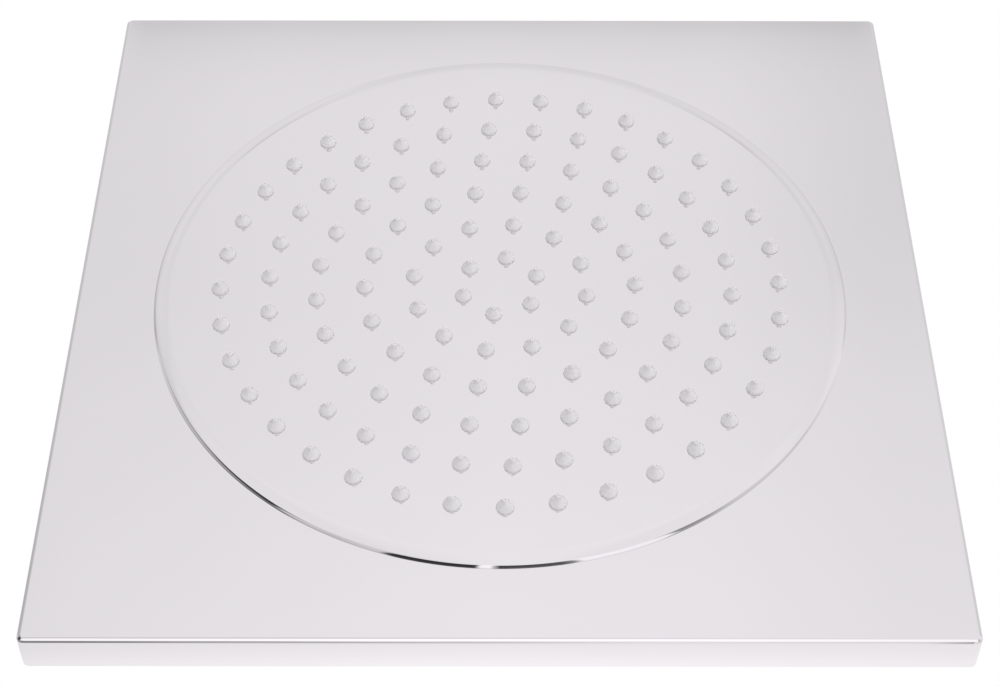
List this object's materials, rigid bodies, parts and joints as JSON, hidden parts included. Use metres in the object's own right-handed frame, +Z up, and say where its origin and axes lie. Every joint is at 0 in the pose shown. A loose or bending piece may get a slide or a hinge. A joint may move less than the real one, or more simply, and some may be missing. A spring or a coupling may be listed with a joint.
{
  "type": "rain shower head",
  "caption": "Square rain shower head in polished steel, with silicone nozzles in rings on a raised round field and a ball swivel with a union nut.",
  "frame": {"origin": "centre of the union nut's mouth", "axes": "+Z up out of the nut's mouth, towards the shower arm; the spray face looks along -Z; X and Y along the sides of the square"},
  "size_m": [0.3, 0.3, 0.0665],
  "materials": {
    "polished_steel": "mirror-polished stainless sheet",
    "cover_steel": "fine brushed stainless sheet",
    "silicone": "translucent light grey silicone",
    "chamber_plastic": "moulded natural white plastic",
    "plated_brass": "chrome-plated brass",
    "bare_brass": "turned brass",
    "zinc_steel": "zinc-plated steel",
    "black_rubber": "black rubber",
    "seat_plastic": "white slippery plastic",
    "screen_steel": "etched stainless strainer",
    "limiter_plastic": "green moulded plastic"
  },
  "bodies": {
    "inlet": {"inlet_nut": "plated_brass"},
    "stem": {"ball_stem": "plated_brass", "stem_clip": "zinc_steel", "inlet_washer": "black_rubber", "filter_screen": "screen_steel", "flow_limiter": "limiter_plastic"},
    "seat": {"ball_seat": "seat_plastic"},
    "head": {"front_shell": "polished_steel", "nozzle_mat": "silicone", "water_chamber": "chamber_plastic", "chamber_studs": "zinc_steel", "chamber_nuts": "zinc_steel", "spigot_seal": "black_rubber", "socket_body": "plated_brass", "lock_nut": "bare_brass", "boss_gasket": "black_rubber", "collar_nut": "plated_brass", "back_cover": "cover_steel", "corner_brackets": "zinc_steel", "cover_screws": "zinc_steel"}
  },
  "joints": [
    {"name": "stem_turn", "type": "hinge", "parent": "inlet", "child": "stem", "pos_m": [0, 0, -0.015], "axis": [0, 0, 1], "continuous": true},
    {"name": "head_tilt", "type": "hinge", "parent": "stem", "child": "seat", "pos_m": [0, 0, -0.0305], "axis": [1, 0, 0], "range_deg": [-15, 15]},
    {"name": "head_turn", "type": "hinge", "parent": "seat", "child": "head", "pos_m": [0, 0, -0.0305], "axis": [0, 0, 1], "continuous": true}
  ]
}
